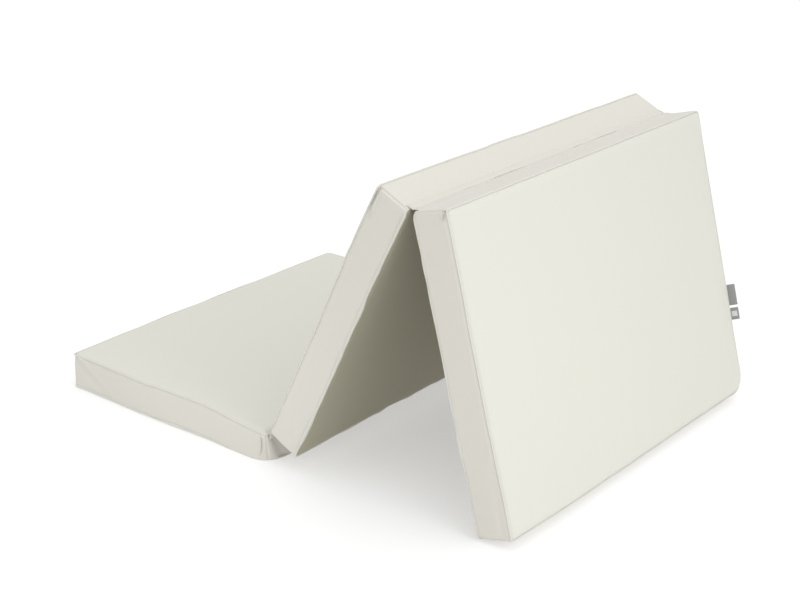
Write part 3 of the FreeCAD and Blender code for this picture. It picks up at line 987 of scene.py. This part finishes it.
def makeTape(section, side, sign):
    inner = zipSizes["rowGap"] + zipSizes["rowHeight"]
    outer = cover["zipHigh"] - thickness / 2
    tape = addGrid(f"{section}_{side}_zip_ribbon", *zipSizes["tapeCells"])
    points = pointsOf(tape)
    run = (points[:, 0] + 0.5) * (cover["zipEnd"] - cover["zipStart"]) + cover["zipStart"]
    rise = inner + (points[:, 1] + 0.5) * (outer - inner)
    sag = zipSizes["tapeSag"] * np.sin(run * zipSizes["sagsPerMetre"])
    sag *= np.sin((points[:, 1] + 0.5) * math.pi)
    setPoints(tape, np.stack((run, zipSizes["plane"] + sag, thickness / 2 + sign * rise), axis=1))
    unfold(tape)
    applyModifier(tape, "wall", "SOLIDIFY", thickness=zipSizes["tapeWall"], offset=0)
    carry(tape, section)
    tape.data.materials.append(finishes["zip_tape"])
    bpy.ops.object.shade_smooth_by_angle(angle=math.radians(40))
    declare(tape, section, [f"{section}_zip_{side}_tape"])


def makeCoil(section, side, sign):
    start, end = cover["zipStart"] + zipSizes["stop"], cover["zipEnd"] - zipSizes["stop"]
    middle = zipSizes["rowGap"] + zipSizes["rowHeight"] / 2
    ring = zipSizes["rowDepth"] / 2 - zipSizes["wire"]
    deselectAll()
    bpy.ops.mesh.primitive_torus_add(major_segments=8, minor_segments=4, major_radius=ring,
                                     minor_radius=zipSizes["wire"], rotation=(0, math.pi / 2, 0),
                                     location=(start + zipSizes["pitch"] / 2, 0, 0))
    coil = bpy.context.object
    coil.name = f"{section}_{side}_zip_teeth"
    settle(coil)
    points = pointsOf(coil)
    points[:, 2] *= zipSizes["rowHeight"] / zipSizes["rowDepth"]
    points[:, 1] += zipSizes["plane"]
    points[:, 2] += thickness / 2 + sign * middle
    points[:, 0] += (points[:, 2] - thickness / 2) * zipSizes["climb"]  # the wire climbs as it winds
    setPoints(coil, points)
    turns = int((end - start) / zipSizes["pitch"])
    applyModifier(coil, "row", "ARRAY", count=turns, use_relative_offset=False,
                  use_constant_offset=True, constant_offset_displace=(zipSizes["pitch"], 0, 0))
    carry(coil, section)
    coil.data.materials.append(finishes["zip_coil"])
    bpy.ops.object.shade_smooth()
    declare(coil, section, [f"{section}_zip_{side}_coil"])


for section in mattress["sections"]:
    for side, sign in (("upper", 1), ("lower", -1)):
        makeTape(section, side, sign)
        makeCoil(section, side, sign)
print("zips made")


# cloth folds: one strip from the first section's end band, over the fold line, to the second's

fold = {"reach": 16 * mm, "endInset": 9 * mm, "offset": 0.6 * mm, "dip": 2.7 * mm, "bead": 1.1 * mm,
        "wall": 0.6 * mm, "waver": 0.3 * mm, "waversPerMetre": 18, "waverByRow": 0.3, "seed": 4.0,
        "legSteps": 10, "arcSteps": 8, "cellsAcross": 90, "blendReach": 2.5 * mm}


def makeFold(name, first, second, firstDown, firstOut, secondDown, secondOut):
    axisPoint = Vector(jointFacts[name]["pos_m"])
    # each leg's edge dips into the end band it is sewn to
    shares = [step / fold["legSteps"] for step in range(1, fold["legSteps"] + 1)]
    legs = [(fold["reach"] * share, fold["offset"] + fold["dip"] * share ** 2) for share in shares]
    steps = [axisPoint + firstDown * run + firstOut * depth for run, depth in reversed(legs)]
    for step in range(fold["arcSteps"] + 1):
        turn = firstOut.slerp(secondOut, step / fold["arcSteps"])
        steps.append(axisPoint + turn * fold["bead"])
    steps += [axisPoint + secondDown * run + secondOut * depth for run, depth in legs]
    strip = addGrid(name + "_cloth", len(steps) - 1, fold["cellsAcross"])
    points = pointsOf(strip)
    row = np.round((points[:, 0] + 0.5) * (len(steps) - 1)).astype(int)
    span = halfWidth - fold["endInset"]
    profile = np.array([tuple(step) for step in steps])[row]
    across = points[:, 1] * 2 * span
    spots = np.stack((across * fold["waversPerMetre"], row * fold["waverByRow"],
                      np.full(len(row), fold["seed"])), axis=1)
    waver = np.array([noise.noise(Vector(spot)) for spot in spots]) * fold["waver"]
    straight = np.stack((profile[:, 0] + waver, across, profile[:, 2]), axis=1)
    unfold(strip)
    setPoints(strip, (softPull(first, straight) + softPull(second, straight)) / 2)
    applyModifier(strip, "wall", "SOLIDIFY", thickness=fold["wall"], offset=0)
    strip.data.materials.append(finishes["fold_cloth"])
    bpy.ops.object.shade_smooth()
    reach = (secondDown - firstDown).normalized() * fold["blendReach"]
    tuple(axisPoint - reach)
    tuple(axisPoint + reach)
    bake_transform(strip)
    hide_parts(f"{name}_{first}_leaf", f"{name}_{second}_leaf")


footAlong, footUp = directions["foot"]
middleAlong, middleUp = directions["middle"]
headAlong, headUp = directions["head"]
makeFold("lower_fold", "foot", "middle", -footUp, -footAlong, -middleUp, middleAlong)
makeFold("upper_fold", "middle", "head", middleUp, -middleAlong, headUp, headAlong)
print("folds made")


# tab labels: looped ribbons that stand out of the head section's seam

label = {"root": 449 * mm, "seat": 73.5 * mm, "bendRadius": 6 * mm, "lean": 62, "reach": 22 * mm,
         "ply": 0.35 * mm, "between": 0.45 * mm, "steps": 26, "cellsAlong": 14,
         "curl": 0.5 * mm, "curlScale": (3, 90, 50), "curlShares": (0.9, 0.4), "tipShare": 6}
tabs = {"upper_tab_label": (394 * mm, 441 * mm), "lower_tab_label": (447 * mm, 474 * mm)}


def ribbonPoint(run, lift):
    # along the bent ribbon from its root, and off its middle surface
    lean = math.radians(label["lean"])
    turned = min(run / label["bendRadius"], lean)
    straight = max(run - label["bendRadius"] * lean, 0)
    across = label["root"] + label["bendRadius"] * math.sin(turned) + straight * math.cos(lean)
    up = label["seat"] + label["bendRadius"] * (1 - math.cos(turned)) + straight * math.sin(lean)
    return across - lift * math.sin(turned), up + lift * math.cos(turned)


def makeTab(name, start, end):
    tab = addGrid(name.replace("label", "ribbon"), label["cellsAlong"], label["steps"])
    unfold(tab)
    for corner in tab.data.uv_layers.active.data:
        corner.uv = (corner.uv[0] * (end - start), corner.uv[1] * 2 * label["reach"])
    placed = []
    for x, y, _ in pointsOf(tab):
        share = y + 0.5  # up one ply, round the tip and down the other
        fromTip = abs(share - 0.5) * 2
        run = label["reach"] * (1 - fromTip)
        sideways = label["between"] * math.copysign(min(fromTip * label["tipShare"], 1), share - 0.5)
        across, up = ribbonPoint(run, sideways)
        spot = Vector((x, run, start)) * Vector(label["curlScale"])
        curl = label["curl"] * noise.noise(spot) * run / label["reach"]
        placed.append((start + (x + 0.5) * (end - start), across - curl * label["curlShares"][0],
                       up + curl * label["curlShares"][1]))
    setPoints(tab, np.array(placed))
    applyModifier(tab, "wall", "SOLIDIFY", thickness=label["ply"], offset=0)
    carry(tab, "head")
    tab.data.materials.append(finishes["label_cloth"])
    bpy.ops.object.shade_smooth()
    declare(tab, "head", [name])


patch = {"side": 12 * mm, "wall": 0.4 * mm, "cells": 12, "place": 0.56, "ease": 0.12 * mm}


def makePatch():
    start, end = tabs["lower_tab_label"]
    centre = (start + end) / 2
    square = addGrid("lower_tab_square", patch["cells"], patch["cells"])
    unfold(square)
    for corner in square.data.uv_layers.active.data:
        corner.uv = corner.uv * patch["side"]
    lift = label["between"] + label["ply"] / 2 + patch["wall"] / 2
    placed = []
    for x, y, _ in pointsOf(square):
        across, up = ribbonPoint(label["reach"] * patch["place"] + y * patch["side"], lift)
        placed.append((centre + x * patch["side"], across, up))
    setPoints(square, np.array(placed))
    applyModifier(square, "wall", "SOLIDIFY", thickness=patch["wall"], offset=0)
    applyModifier(square, "ease", "BEVEL", width=patch["ease"], segments=2, limit_method="ANGLE")
    carry(square, "head")
    square.data.materials.append(finishes["label_patch"])
    bpy.ops.object.shade_smooth_by_angle(angle=math.radians(40))
    declare(square, "head", ["lower_tab_patch"])


for name, (start, end) in tabs.items():
    makeTab(name, start, end)
makePatch()
print("labels made")


# the small hard zip parts keep their shapes and get their own finish

for section in mattress["sections"]:
    for part, slot in (("zip_slider", "zip_metal"), ("zip_pull", "zip_metal"), ("zip_stops", "zip_coil")):
        node = bpy.data.objects[f"{section}_{part}"]
        for number in range(max(len(node.material_slots), 1)):
            if not node.material_slots:
                node.data.materials.append(finishes[slot])
            node.material_slots[number].material = finishes[slot]
print("zip parts finished")
